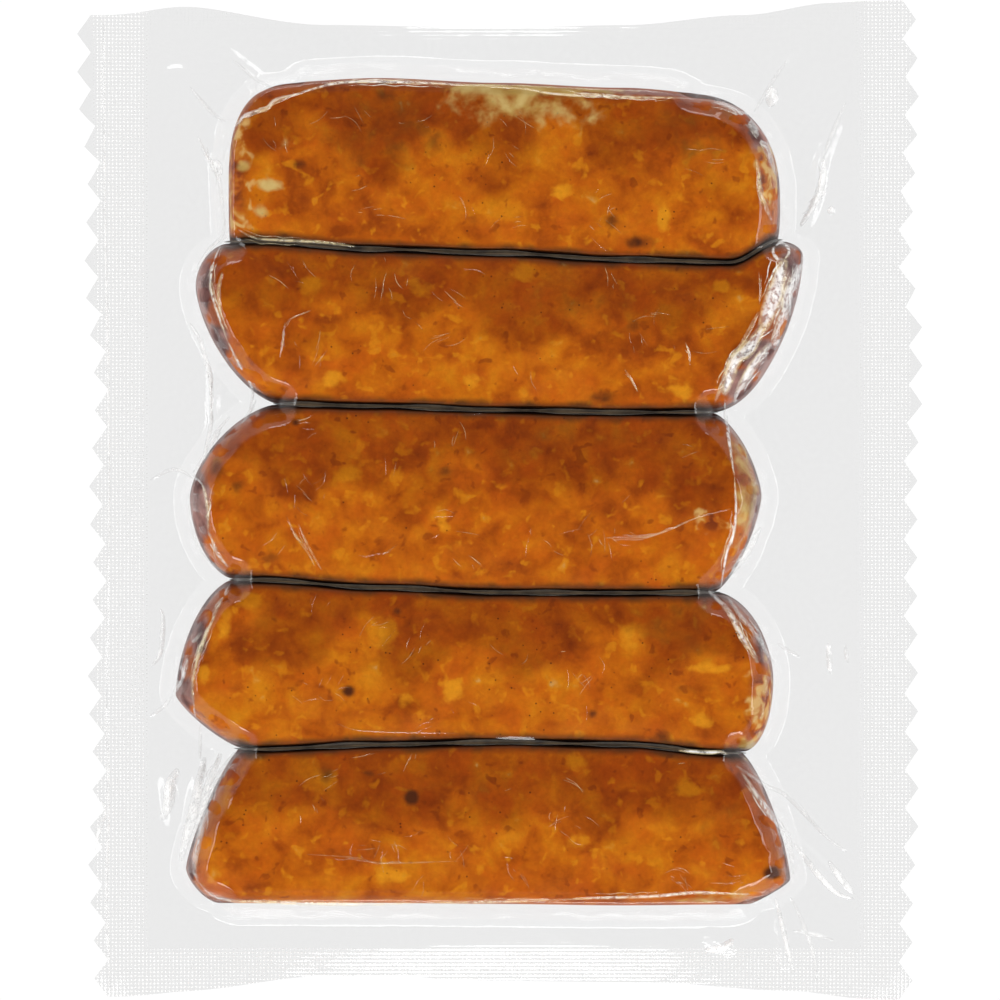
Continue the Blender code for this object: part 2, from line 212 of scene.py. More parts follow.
# Sharp creases round the third sausage
THIRD_CREASES = creases(
    (((-59.7, 20.6), (-59.4, 16.5), (-60.1, 12.4), (-60.8, 8.9), (-63.2, 5.5)), 0.5, 0.4, 0.6, 2),
    (((-55.6, 17.2), (-58.4, 13.7), (-59.7, 10.3), (-61.1, 7.6)), 0.5, 0.35, 0.5, 2),
    (((-50.1, 20.6), (-51.5, 17.9), (-52.9, 15.8)), 0.4, 0.3, 0.4),
    (((-72.1, 4.1), (-68.0, 6.2), (-65.2, 5.8), (-63.2, 4.5)), 0.45, 0.3, 0.35),
    (((-63.2, 5.1), (-60.8, 2.7), (-59.7, -2.1), (-59.7, -6.2)), 0.45, 0.3, 0.6, 3),
    (((-59.7, -6.2), (-57.7, -11.0), (-55.6, -13.7)), 0.45, 0.3, 0.6, 2),
    (((-63.9, 1.4), (-63.5, -3.4), (-62.5, -8.2), (-59.7, -12.4), (-56.6, -15.1)), 0.4, 0.25, 0.35),
    (((47.9, 4.8), (48.2, -2.1), (47.7, -6.9), (46.3, -11.0), (45.2, -18.5)), 0.4, 0.5, 0.85, 2),
    (((53.6, -5.5), (51.8, -8.9), (49.4, -12.4), (47.0, -15.8)), 0.9, 0.4, 0.8, 2),
    (((22.0, -7.6), (29.5, -7.6), (34.3, -6.2), (39.8, -3.8), (47.4, -1.7)), 0.2, 0.15, 0.3, 2),
    (((-43.6, -3.4), (-41.5, -7.6), (-39.1, -11.0), (-37.8, -13.7)), 0.3, 0.1, 0.3, 1),
    (((-41.2, -4.8), (-39.1, -9.6), (-36.4, -14.4)), 0.3, 0.1, 0.3, 1),
)
# Sharp creases round the fourth sausage
FOURTH_CREASES = creases(
    (((-55.3, -17.2), (-58.4, -23.3), (-61.1, -30.2), (-62.8, -37.1), (-62.5, -44.6)), 0.5, 0.3, 0.5, 6),
    (((-63.9, -32.3), (-65.2, -36.4), (-67.0, -39.8)), 0.7, 0.4, 0.7, 2),
    (((-67.0, -39.8), (-69.4, -42.6), (-72.1, -44.6)), 0.5, 0.3, 0.4),
    (((-70.0, -22.3), (-69.4, -24.7), (-70.0, -31.6), (-71.8, -34.3)), 0.6, 0.4, 0.6),
    (((-64.5, -30.2), (-62.5, -28.8), (-60.8, -26.8)), 0.45, 0.3, 0.3),
    (((-61.5, -46.0), (-61.7, -49.4), (-61.8, -53.6)), 0.4, 0.3, 0.3),
    (((42.6, -18.5), (46.7, -22.7), (48.8, -26.8), (50.8, -30.2), (52.9, -33.6)), 0.7, 0.4, 0.7, 6),
    (((46.7, -19.9), (49.4, -24.0), (52.9, -28.2), (54.9, -31.6), (56.3, -33.6)), 0.6, 0.4, 0.4, 3),
    (((67.6, -29.5), (67.8, -32.3), (68.0, -35.7)), 0.7, 0.35, 0.8),
    (((71.1, -29.9), (71.6, -33.6)), 0.5, 0.3, 0.4),
    (((57.0, -29.5), (59.7, -31.2), (61.8, -32.3)), 0.5, 0.3, 0.4),
    (((36.4, -51.2), (42.6, -51.6), (45.3, -51.5), (46.7, -52.2)), 0.5, 0.2, 0.8),
    (((-33.3, -45.7), (-29.5, -47.0), (-22.7, -47.4), (-8.2, -47.7)), 0.2, 0.05, 0.15),
)
# Sharp creases round the fifth sausage, and the lines along the sealed edges
FIFTH_CREASES = creases(
    (((49.4, -55.6), (54.9, -63.9), (57.7, -68.0), (59.7, -72.1), (60.2, -76.9)), 0.7, 0.4, 0.6, 6),
    (((48.1, -54.2), (54.2, -58.4), (59.1, -61.1), (67.3, -69.4), (71.4, -72.4)), 0.5, 0.4, 0.4, 2),
    (((60.4, -70.7), (63.2, -74.2), (65.9, -77.6), (69.4, -81.0), (72.8, -82.1)), 0.7, 0.5, 0.9),
    (((67.6, -74.2), (68.7, -75.9), (70.7, -78.6), (72.8, -81.0)), 0.8, 0.5, 0.8),
    (((56.6, -81.7), (57.7, -85.8), (59.1, -92.0), (60.4, -97.5)), 0.6, 0.4, 0.6, 2),
    (((59.7, -81.7), (61.8, -85.8), (64.5, -93.4), (65.2, -98.9)), 0.5, 0.35, 0.4),
    (((42.2, -92.8), (45.7, -92.3), (48.2, -90.5)), 1.0, 0.4, 0.9),
    (((60.4, -88.6), (68.7, -90.6)), 0.5, 0.3, 0.25),
    (((12.4, -81.7), (19.2, -81.4), (31.6, -81.0), (39.8, -80.3), (51.8, -80.7)), 0.4, 0.3, 0.7, 2),
    (((-61.8, -78.3), (-57.0, -81.7), (-43.3, -82.3), (-29.5, -82.7), (-15.8, -82.4)), 0.5, 0.3, 0.6, 2),
    (((-15.8, -82.4), (-2.0, -82.2), (12.4, -81.7)), 0.4, 0.3, 0.55, 1),
    (((-60.8, -52.9), (-62.1, -59.1), (-63.0, -63.9), (-64.5, -69.4), (-65.6, -74.2)), 1.2, 0.6, 0.9, 6),
    (((-57.3, -52.2), (-59.7, -57.7), (-61.5, -64.5), (-63.0, -68.7)), 0.9, 0.5, 0.8, 4),
    (((-54.2, -51.5), (-59.1, -59.1), (-61.8, -70.0), (-62.5, -75.5), (-61.8, -78.3)), 0.9, 0.3, 0.45, 6),
    (((-66.3, -55.3), (-67.8, -58.4), (-68.3, -62.5), (-69.7, -65.9)), 1.3, 0.5, 0.9),
    (((-39.8, -72.4), (-29.5, -73.1), (-24.0, -74.2), (-8.2, -73.8)), 0.2, 0.05, 0.2, 1),
    (((-81.6, 98.0), (-81.4, 60.0), (-80.6, 10.0), (-81.0, -41.2)), 0.35, 0.2, 0.45),
    (((-81.0, -41.2), (-80.7, -61.8), (-81.0, -82.4), (-80.2, -100.9)), 0.35, 0.2, 0.5),
    (((-82.4, -61.8), (-81.4, -63.9), (-82.7, -68.7), (-83.4, -72.1)), 0.5, 0.3, 0.8),
)
CREASES = FIRST_CREASES + SECOND_CREASES + THIRD_CREASES + FOURTH_CREASES + FIFTH_CREASES
FOLD_STEP, CREASE_STEP, STRAND_STEP = 1.5, 0.6, 1.0
CREASE_COLUMNS, STRAND_COLUMNS = 9, 5
STRAND_SEED = 23
SCRATCHES = 260
SCRATCH_SEED = 11

# The bands that the sealing bars press: where each fades in from nothing, and where it ends
LEFT_SEAL_START, LEFT_SEAL_END = (-69.5, -75.0), (-84.5, -83.0)
RIGHT_SEAL_START, RIGHT_SEAL_END = (69.0, 78.0), (85.5, 84.0)
NEAR_SEAL_START = (-90.5, -93.5)
FAR_SEAL_START = (94.0, 97.0)
FAR_SEAL_DEPTH = 0.5
FILM_HAZE = 0.01
DIAMOND_PITCH_METRES = 0.0011

# The juice and painted shade in a seam, a dark ribbon
JUICE_STATIONS = 160
JUICE_HALF_WIDTH = 0.40
JUICE_TAPER = 8.0
JUICE_DEPTH = 1.5

# Grid lines of the film: twelve rows to a tooth, so that a row lies on every tip and notch
ROWS_IN_RIM = 36
ROWS_IN_SAUSAGE = 48
COLUMNS_IN_LEFT_RIM = 38
COLUMNS_IN_END = 16
COLUMNS_IN_MIDDLE = 110
COLUMNS_IN_RIGHT_RIM = 44
END_SHARE = 0.07
SPREAD_FROM_X = 60.0
EASING_PASSES = 20

# Grid of a sausage's upper and lower half
SAUSAGE_ROWS = 72
SAUSAGE_COLUMNS = 220

# Painted shades that belong to the top, and what is left of them on the lower half
TOP_SHADES = ("side_shade", "gel", "raw")
SHARE_BELOW = 0.3


class Waves(NamedTuple):
    """An uneven relief as a sum of waves: how many, their lengths, the height of the longest, a seed."""

    count: int
    shortest: float
    longest: float
    height: float
    seed: int


RELIEF = Waves(26, 5.0, 26.0, 0.085, 5)
CRINKLES = Waves(22, 2.2, 8.0, 0.22, 8)

# The photograph's view: straight down from this height, with this width of the pack's plane in it
CAMERA_HEIGHT = 2000.0
FRAME_WIDTH = 206.0
SENSOR_WIDTH = 36.0

# The studio, in metres: floor, surround and soft lights
FLOOR_HALF_WIDTH_METRES = 4.0
FLOOR_GAP_METRES = 0.0002
FLOOR_GLOW = 1.02
HORIZON_LEVEL, OVERHEAD_LEVEL = 1.15, 0.02
LIGHT_DISTANCE_METRES = 1.5
# Name, azimuth (0 is on the near side, 90 on the right), elevation, size and watts of each light
LIGHTS = (
    ("near_light", 0.0, 40.0, (1.2, 0.4), 14.0),
    ("left_light", -85.0, 50.0, (1.0, 0.4), 6.5),
    ("right_light", 85.0, 50.0, (1.0, 0.4), 7.0),
    ("far_light", 180.0, 40.0, (1.0, 0.4), 7.5),
)


def smooth_step(share):
    return share * share * (3.0 - 2.0 * share)


def smooth_through(stations, values, at):
    """A curve through the values, level at each station and beyond the first and last one."""
    stations = np.asarray(stations, float)
    values = np.asarray(values, float)
    span = np.clip(np.searchsorted(stations, at) - 1, 0, len(stations) - 2)
    share = (at - stations[span]) / (stations[span + 1] - stations[span])
    share = np.clip(share, 0.0, 1.0)
    return values[span] + (values[span + 1] - values[span]) * smooth_step(share)


def fade(value, start, end):
    """0 at start, 1 at end, smooth between, and either may be the larger."""
    return smooth_step(np.clip((value - start) / (end - start), 0.0, 1.0))


def seam_y(k, x):
    return smooth_through(SEAM_X, SEAM_Y[k], x)


def end_curve(k, across, tip_x, tip_y, notches, full):
    """X of one end of sausage k, where across runs from -1 on its near seam to 1 on its far seam."""
    far, near = seam_y(k, tip_x), seam_y(k + 1, tip_x)
    tip_across = (2.0 * tip_y - far - near) / (far - near)
    towards_far = across >= tip_across
    room = np.where(towards_far, 1.0 - tip_across, 1.0 + tip_across)
    away = np.clip(np.abs(across - tip_across) / room, 0.0, 1.0)
    power = np.where(towards_far, full[0], full[1])
    drawn_in = 1.0 - (1.0 - away**power) ** (1.0 / power)
    notch = np.where(towards_far, notches[k], notches[k + 1])
    return tip_x + (notch - tip_x) * drawn_in


def left_end(k, across):
    one = SAUSAGES[k]
    return end_curve(k, across, one.left_x, one.left_y, LEFT_NOTCH_X, one.left_full)


def right_end(k, across):
    one = SAUSAGES[k]
    return end_curve(k, across, one.right_x, one.right_y, RIGHT_NOTCH_X, one.right_full)


def between_seams(k, x, across):
    """Y of a line across sausage k: -1 is its near seam, 1 its far seam."""
    far, near = seam_y(k, x), seam_y(k + 1, x)
    return 0.5 * (far + near) + 0.5 * (far - near) * across


def across_of(k, x, y):
    far, near = seam_y(k, x), seam_y(k + 1, x)
    return (2.0 * y - far - near) / (far - near)


def distance_to_line(x, y, line_x, line_y):
    """The distance from each point to a line of corners, and how far along the line it is, 0 to 1."""
    nearest = np.full(np.shape(x), np.inf)
    along = np.zeros(np.shape(x))
    lengths = np.hypot(np.diff(line_x), np.diff(line_y))
    starts = np.concatenate([[0.0], np.cumsum(lengths)])
    for i, length in enumerate(lengths):
        if length < 1e-6:
            continue
        run_x, run_y = (line_x[i + 1] - line_x[i]) / length, (line_y[i + 1] - line_y[i]) / length
        reach = np.clip((x - line_x[i]) * run_x + (y - line_y[i]) * run_y, 0.0, length)
        gap = np.hypot(x - line_x[i] - reach * run_x, y - line_y[i] - reach * run_y)
        closer = gap < nearest
        nearest = np.where(closer, gap, nearest)
        along = np.where(closer, starts[i] + reach, along)
    return nearest, along / starts[-1]


def past_end(k, x, y, end, outwards):
    """How far a point lies beyond one end of sausage k, whose curve goes straight on past the seams."""
    across = np.cos(np.linspace(0.0, np.pi, CURVE_STEPS))
    line_x = end(k, across)
    line_y = between_seams(k, line_x, across)
    line_x = np.concatenate([line_x[:1], line_x, line_x[-1:]])
    line_y = np.concatenate([line_y[:1] + BEYOND, line_y, line_y[-1:] - BEYOND])
    distance, _ = distance_to_line(x, y, line_x, line_y)
    level = np.clip(across_of(k, x, y), -1.0, 1.0)
    return np.where(outwards * (x - end(k, level)) > 0.0, distance, -distance)


class Place(NamedTuple):
    """How far points lie past a sausage's ends and long edges, negative inside, and how these round off."""

    end: np.ndarray
    seam: np.ndarray
    end_rounding: np.ndarray
    seam_rounding: np.ndarray


def place_on(k, x, y):
    left = past_end(k, x, y, left_end, -1.0)
    right = past_end(k, x, y, right_end, 1.0)
    far, near = y - seam_y(k, x), seam_y(k + 1, x) - y
    is_outer = ((k == 0) & (far > near)) | ((k == len(SAUSAGES) - 1) & (near > far))
    seam_rounding = np.where(is_outer, OUTER_SHOULDER, CREVICE_SHOULDER)
    end_rounding = np.where((k == 0) & (x < 0.0), CUT_SHOULDER, END_SHOULDER)
    return Place(np.maximum(left, right), np.maximum(far, near), end_rounding, seam_rounding)


def places_on(x, y):
    return [place_on(k, x, y) for k in range(len(SAUSAGES))]


def body_share(place, end_shoulder, seam_shoulder):
    """A sausage's own height as a share: full on its flat side, none at its outline."""
    off_end = 1.0 - np.clip(-place.end / end_shoulder, 0.0, 1.0)
    off_seam = 1.0 - np.clip(-place.seam / seam_shoulder, 0.0, 1.0)
    left = 1.0 - off_end**SHOULDER_POWER - off_seam**SHOULDER_POWER
    return np.clip(left, 0.0, 1.0) ** (1.0 / SHOULDER_POWER)


def tent_share(places, end_shoulders, end_reach, seam_shoulder, seam_reach):
    """The film's height as a share where it hangs between the sausages and the rim."""
    slack = 1.0
    for place, end_shoulder in zip(places, end_shoulders):
        run_end = np.clip((place.end + end_shoulder) / (end_shoulder + end_reach), 0.0, 1.0)
        run_seam = np.clip((place.seam + seam_shoulder) / (seam_shoulder + seam_reach), 0.0, 1.0)
        slack = slack * (1.0 - (1.0 - np.minimum(run_end**2 + run_seam**2, 1.0)) ** TENT_POWER)
    return 1.0 - slack


def rim_height(x, y):
    """The middle of the sealed rim: its corners curl up, and its short sides hang in the middle."""
    across, along = x / HALF_WIDTH, y / HALF_LENGTH
    lift = CORNER_LIFT * np.abs(across * along) ** 3
    past_row = np.clip((np.abs(y) - SEAM_Y[0][0]) / (HALF_LENGTH - SEAM_Y[0][0]), 0.0, 1.0)
    droop = END_DROOP * past_row * (1.0 - across**2)
    wave = SIDE_WAVE * across**6 * np.sin(2.0 * np.pi * y / SIDE_WAVE_LENGTH)
    return RIM_HEIGHT + lift - droop + wave


def plateau_height(x, y):
    """The height of the sausages' flat tops, a little crowned from seam to seam."""
    centres = [float(between_seams(k, 0.0, 0.0)) for k in range(len(SAUSAGES))]
    top = smooth_through(centres[::-1], SAUSAGE_TOPS[::-1], y)
    off_centre = np.ones_like(x)
    for k in range(len(SAUSAGES)):
        off_centre = np.minimum(off_centre, np.abs(across_of(k, x, y)))
    return top - CROWN * off_centre**2


def wave_sum(x, y, waves):
    """The height of an uneven relief: waves in all directions, the longer the higher."""
    draw = np.random.default_rng(waves.seed)
    total = np.zeros(np.shape(x))
    for _ in range(waves.count):
        heading = draw.uniform(0.0, np.pi)
        length = draw.uniform(waves.shortest, waves.longest)
        start = draw.uniform(0.0, 2.0 * np.pi)
        run = (x * np.cos(heading) + y * np.sin(heading)) * 2.0 * np.pi / length
        total += np.sin(run + start) * waves.height * length / waves.longest
    return total


def sausage_top(place, x, y):
    rim = rim_height(x, y)
    share = body_share(place, place.end_rounding, place.seam_rounding)
    return rim + (plateau_height(x, y) - 3.0 * FILM_GAP - rim + wave_sum(x, y, RELIEF)) * share


def sausage_base(place, x, y):
    share = body_share(place, BASE_END_SHOULDER, BASE_SEAM_SHOULDER)
    return 2.0 * FILM_GAP + (rim_height(x, y) - 2.0 * FILM_GAP) * (1.0 - share)


def fold_height(x, y):
    total = np.zeros(np.shape(x))
    for fold in FOLDS:
        line_x, line_y = np.transpose(smooth_line(fold.points, FOLD_STEP))
        distance, along = distance_to_line(x, y, line_x, line_y)
        side = np.clip(1.0 - distance / fold.half_width, 0.0, 1.0)
        total += fold.height * smooth_step(side) * np.sqrt(np.sin(np.pi * np.clip(along, 0.0, 1.0)))
    return total


def film_top(x, y):
    """The upper web: it lies on the sausages, hangs like a tent past their edges, and folds."""
    places = places_on(x, y)
    rim = rim_height(x, y)
    shoulders = [place.end_rounding for place in places]
    tent = tent_share(places, shoulders, END_REACH, SEAM_SHOULDER, SEAM_REACH)
    height = rim + (plateau_height(x, y) - FILM_GAP - rim) * tent
    for place in places:
        height = np.maximum(height, sausage_top(place, x, y))
    off_seams = np.minimum.reduce([fade(np.abs(y - seam_y(k, x)), 0.5, 3.0) for k in INNER_SEAMS])
    slope = 4.0 * tent * (1.0 - tent) * off_seams
    return height + FILM_GAP + fold_height(x, y) + slope * wave_sum(x, y, CRINKLES)


def film_base(x, y):
    places = places_on(x, y)
    rim = rim_height(x, y)
    shoulders = [BASE_END_SHOULDER] * len(places)
    tent = tent_share(places, shoulders, BASE_REACH, BASE_SEAM_SHOULDER, BASE_REACH)
    height = rim * (1.0 - tent)
    for place in places:
        height = np.minimum(height, sausage_base(place, x, y) - FILM_GAP)
    return np.maximum(height - 0.5 * FILM_GAP, 0.0)


def smooth_line(points, step):
    """Points every step or so along a smooth curve through the given ones."""
    points = np.asarray(points, float)
    padded = np.concatenate([2.0 * points[:1] - points[1:2], points, 2.0 * points[-1:] - points[-2:-1]])
    line = []
    for i in range(1, len(padded) - 2):
        before, start, end, after = padded[i - 1 : i + 3]
        count = max(2, int(np.ceil(np.hypot(*(end - start)) / step)))
        for share in np.arange(count) / count:
            line.append(
                0.5
                * (
                    2.0 * start
                    + (end - before) * share
                    + (2.0 * before - 5.0 * start + 4.0 * end - after) * share**2
                    + (3.0 * start - before - 3.0 * end + after) * share**3
                )
            )
    line.append(points[-1])
    return np.array(line)


def level_y(band, x):
    """Y of the line where a band of rows starts: the far cut edge, a seam, or the near cut edge."""
    if band == 0:
        return smooth_through(FAR_EDGE_X, FAR_EDGE_Y, x)
    if band <= len(SEAM_Y):
        return seam_y(band - 1, x)
    return smooth_through(NEAR_EDGE_X, NEAR_EDGE_Y, x)


def row_lines():
    """Each grid row as (band, share): band 0 is the far rim, 1 to 5 the sausages, 6 the near rim."""
    lines = [(0, share) for share in np.arange(ROWS_IN_RIM) / ROWS_IN_RIM]
    in_sausage = np.arange(ROWS_IN_SAUSAGE) / ROWS_IN_SAUSAGE
    bunched = 0.5 * in_sausage + 0.5 * smooth_step(in_sausage)
    for band in range(1, len(SAUSAGES) + 1):
        lines += [(band, share) for share in bunched]
    return lines + [(len(SAUSAGES) + 1, share) for share in np.arange(ROWS_IN_RIM + 1) / ROWS_IN_RIM]


def row_ends(lines, end, notches):
    """X of one end of every row, eased from row to row so that no grid cell is drawn out thin."""
    x = []
    for band, share in lines:
        if 1 <= band <= len(SAUSAGES):
            x.append(float(end(band - 1, np.array(1.0 - 2.0 * share))))
        else:
            x.append(notches[0 if band == 0 else len(SAUSAGES)])
    x = np.array(x)
    for _ in range(EASING_PASSES):
        x[1:-1] = 0.25 * x[:-2] + 0.5 * x[1:-1] + 0.25 * x[2:]
    return x


def cut_edge(row, rows, left):
    """Where a grid row meets the zigzag cut, which starts on a notch and has even teeth."""
    y = HALF_LENGTH - 2.0 * HALF_LENGTH * row / rows
    corner_x = -HALF_WIDTH if left else HALF_WIDTH
    far = smooth_through(FAR_EDGE_X, FAR_EDGE_Y, corner_x)
    near = smooth_through(NEAR_EDGE_X, NEAR_EDGE_Y, corner_x)
    y += (far - HALF_LENGTH) * (1.0 - row / rows) + (near + HALF_LENGTH) * row / rows
    stations, tips = (LEFT_EDGE_Y, LEFT_EDGE_X) if left else (RIGHT_EDGE_Y, RIGHT_EDGE_X)
    tip_x = smooth_through(stations, tips, y)
    in_tooth = (row * TEETH / rows) % 1.0
    return tip_x - np.sign(tip_x) * TOOTH_DEPTH * abs(1.0 - 2.0 * in_tooth), y


def row_points(row, lines, left_x, right_x):
    """The X and Y of one grid row, from the left cut edge to the right one."""
    band, share = lines[row]
    left_cut, right_cut = (cut_edge(row, len(lines) - 1, left) for left in (True, False))
    in_end = END_SHARE * np.arange(COLUMNS_IN_END) / COLUMNS_IN_END
    in_middle = END_SHARE + (1.0 - 2.0 * END_SHARE) * np.arange(COLUMNS_IN_MIDDLE) / COLUMNS_IN_MIDDLE
    in_row = np.concatenate([in_end, in_middle, 1.0 - END_SHARE + in_end])
    in_left = np.arange(COLUMNS_IN_LEFT_RIM) / COLUMNS_IN_LEFT_RIM
    in_right = np.arange(COLUMNS_IN_RIGHT_RIM + 1) / COLUMNS_IN_RIGHT_RIM
    x = np.concatenate(
        [
            left_cut[0] + (left_x - left_cut[0]) * in_left,
            left_x + (right_x - left_x) * in_row,
            right_x + (right_cut[0] - right_x) * in_right,
        ]
    )
    y = level_y(band, x) * (1.0 - share) + level_y(band + 1, x) * share
    cut_y = np.where(x < 0.0, left_cut[1], right_cut[1])
    towards_cut = np.clip((np.abs(x) - SPREAD_FROM_X) / (HALF_WIDTH - SPREAD_FROM_X), 0.0, 1.0)
    return x, y + (cut_y - y) * smooth_step(towards_cut)


def film_grid():
    """X and Y of the film's grid, which is the same for both webs."""
    lines = row_lines()
    left_x = row_ends(lines, left_end, LEFT_NOTCH_X)
    right_x = row_ends(lines, right_end, RIGHT_NOTCH_X)
    rows = [row_points(row, lines, left_x[row], right_x[row]) for row in range(len(lines))]
    return np.moveaxis(np.array(rows), 1, 0)


def grid_faces(rows, columns, first=0, flipped=False):
    """Quads of a grid whose rows run from +Y to -Y. They face up unless flipped."""
    corner = first + np.arange(rows - 1)[:, None] * columns + np.arange(columns - 1)[None, :]
    quads = np.stack([corner, corner + columns, corner + columns + 1, corner + 1], axis=-1)
    quads = quads.reshape(-1, 4)
    return quads[:, ::-1] if flipped else quads


def outline_of(rows, columns):
    """The outer points of a grid, once round."""
    index = np.arange(rows * columns).reshape(rows, columns)
    return np.concatenate([index[0], index[1:, -1], index[-1, -2::-1], index[-2:0:-1, 0]])


def mesh_piece(name, points, faces, material, slot, **shades):
    """A smooth piece from points in millimetres, with a float attribute for each shade given."""
    mesh = bpy.data.meshes.new(name)
    mesh.from_pydata((np.asarray(points) * METRES_PER_MM).tolist(), [], np.asarray(faces).tolist())
    for shade, values in shades.items():
        attribute = mesh.attributes.new(shade, "FLOAT", "POINT")
        attribute.data.foreach_set("value", np.asarray(values, dtype=np.float32).ravel())
    mesh.materials.append(material)
    mesh.shade_smooth()
    piece = bpy.data.objects.new(name, mesh)
    bpy.context.scene.collection.objects.link(piece)
    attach(piece, "root")
    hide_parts(NODE)
    return piece


def linked(tree, kind, sockets=None, **settings):
    """A new shader node. A socket is given a value, or another node's output to link to it."""
    made = tree.nodes.new("ShaderNode" + kind)
    for name, value in settings.items():
        setattr(made, name, value)
    for name, value in (sockets or {}).items():
        if isinstance(value, bpy.types.NodeSocket):
            tree.links.new(value, made.inputs[name])
        else:
            made.inputs[name].default_value = value
    return made


def new_material(name):
    material = bpy.data.materials.new(name)
    material.use_nodes = True
    material.node_tree.nodes.clear()
    return material, material.node_tree


def put_out(tree, shader):
    tree.links.new(shader, linked(tree, "OutputMaterial").inputs["Surface"])


def maths(tree, operation, first, second=0.0, third=0.0, clamped=False):
    sockets = {0: first, 1: second, 2: third}
    return linked(tree, "Math", sockets, operation=operation, use_clamp=clamped).outputs[0]


def mixed(tree, share, low, high, blend="MIX"):
    node = linked(tree, "Mix", {0: share, 6: low, 7: high}, data_type="RGBA", blend_type=blend)
    return node.outputs[2]


def eased(tree, value, start, end, low=0.0, high=1.0):
    """The value taken smoothly from start and end to low and high."""
    sockets = {"Value": value, "From Min": start, "From Max": end, "To Min": low, "To Max": high}
    return linked(tree, "MapRange", sockets, interpolation_type="SMOOTHSTEP").outputs[0]


def noise(tree, vector, scale, detail=3.0, roughness=0.5, distortion=0.0):
    sockets = {"Vector": vector, "Scale": scale, "Detail": detail}
    sockets.update({"Roughness": roughness, "Distortion": distortion})
    return linked(tree, "TexNoise", sockets).outputs[0]


def shade(tree, name):
    return linked(tree, "Attribute", attribute_name=name).outputs["Fac"]


def ramp(tree, value, stops):
    node = linked(tree, "ValToRGB", {0: value})
    elements = node.color_ramp.elements
    for element, (position, colour) in zip((elements[0], elements[-1]), (stops[0], stops[-1])):
        element.position = position
        element.color = (*colour, 1.0)
    for position, colour in stops[1:-1]:
        elements.new(position).color = (*colour, 1.0)
    return node.outputs[0]


def rgb(*colour):
    return (*colour, 1.0)


class Textures(NamedTuple):
    """The noises of the casing, from the broadest to the finest, and how they break up a painted patch."""

    broad: bpy.types.NodeSocket
    mottle: bpy.types.NodeSocket
    lumps: bpy.types.NodeSocket
    grain: bpy.types.NodeSocket
    broken: bpy.types.NodeSocket


def casing_textures(tree, place):
    broad = noise(tree, place, 55.0, 2.0)
    mottle = noise(tree, place, 175.0, 4.0, 0.5, 0.35)
    lumps = noise(tree, place, 330.0, 2.0, 0.5, 0.3)
    grain = noise(tree, place, 900.0, 3.0, 0.7, 0.3)
    broken = maths(tree, "MULTIPLY_ADD", maths(tree, "ADD", mottle, lumps), 1.5, -1.5)
    return Textures(broad, mottle, lumps, grain, broken)


def painted(tree, name, textures, breaking):
    """A painted shade whose edges the casing's noises break up."""
    return maths(tree, "ADD", shade(tree, name), maths(tree, "MULTIPLY", textures.broken, breaking))


def meat_colour(tree, place, textures):
    """Amber mottles with lean and fatty lumps, fine grain and specks of pepper, and painted light that
    makes the near half of each top lighter.
    """
    level = maths(tree, "MULTIPLY", textures.mottle, 0.65)
    colour = ramp(tree, maths(tree, "MULTIPLY_ADD", textures.broad, 0.35, level), MEAT_COLOURS)
    warm = eased(tree, noise(tree, place, 120.0, 3.0, 0.6), 0.45, 0.7, 0.0, 0.55)
    colour = mixed(tree, warm, colour, rgb(0.400, 0.078, 0.0040))
    lean = eased(tree, textures.lumps, 0.36, 0.27, 0.0, 0.65)
    colour = mixed(tree, lean, colour, rgb(0.190, 0.034, 0.0020))
    fat = eased(tree, textures.lumps, 0.58, 0.72, 0.0, 0.6)
    colour = mixed(tree, fat, colour, rgb(0.520, 0.190, 0.0080))
    lump = eased(tree, painted(tree, "fat", textures, 1.0), 0.30, 0.95, 0.0, 0.75)
    colour = mixed(tree, lump, colour, rgb(0.540, 0.220, 0.0120))
    grain = eased(tree, textures.grain, 0.25, 0.75, 0.90, 1.10)
    colour = mixed(tree, 1.0, colour, grain, "MULTIPLY")
    cells = linked(tree, "TexVoronoi", {"Vector": place, "Scale": 480.0})
    speck = eased(tree, cells.outputs["Distance"], 0.12, 0.06, 0.0, 0.8)
    speck = maths(tree, "MULTIPLY", speck, eased(tree, textures.broad, 0.48, 0.56))
    colour = mixed(tree, speck, colour, rgb(0.040, 0.010, 0.0020))
    # Painted light: the near half of each top is painted lighter and the far half darker, as a low light
    # from the near side would shade them
    painted_near_light = mixed(tree, shade(tree, "near"), rgb(0.69, 0.545, 0.15), rgb(1.08, 1.02, 0.60))
    return mixed(tree, 1.0, colour, painted_near_light, "MULTIPLY")


def shaded_colour(tree, colour, textures):
    """The colour with painted shade along the seams, darkened at the dark patches, and with painted shade
    and haze at the purple-brown tips.
    """
    # Painted shade: darker towards each seam, where the top rounds down into the crevice, broken up by the
    # mottles
    edge = maths(tree, "ADD", shade(tree, "edge"), maths(tree, "MULTIPLY", textures.mottle, 0.9))
    colour = mixed(tree, eased(tree, edge, 0.90, 1.50, 0.0, 0.92), colour, rgb(0.045, 0.014, 0.0040))
    dark = eased(tree, painted(tree, "dark", textures, 0.6), 0.15, 1.10)
    colour = mixed(tree, dark, colour, rgb(0.060, 0.014, 0.0030))
    # Painted shade and haze: the sloping sides under the film, purple-brown to pale pink
    side_shade_colour = ramp(tree, textures.mottle, SIDE_SHADE_COLOURS)
    side_shade = eased(tree, painted(tree, "side_shade", textures, 0.5), 0.25, 0.65, 0.0, 0.95)
    return mixed(tree, side_shade, colour, side_shade_colour)


def patched_colour(tree, colour, textures):
    """The colour with raw cut meat and pale jelly where they are painted."""
    raw = eased(tree, painted(tree, "raw", textures, 0.6), 0.30, 0.60, 0.0, 0.9)
    colour = mixed(tree, raw, colour, ramp(tree, textures.lumps, RAW_COLOURS))
    gel = eased(tree, painted(tree, "gel", textures, 0.7), 0.28, 0.95, 0.0, 0.85)
    return mixed(tree, gel, colour, ramp(tree, textures.mottle, JELLY_COLOURS))


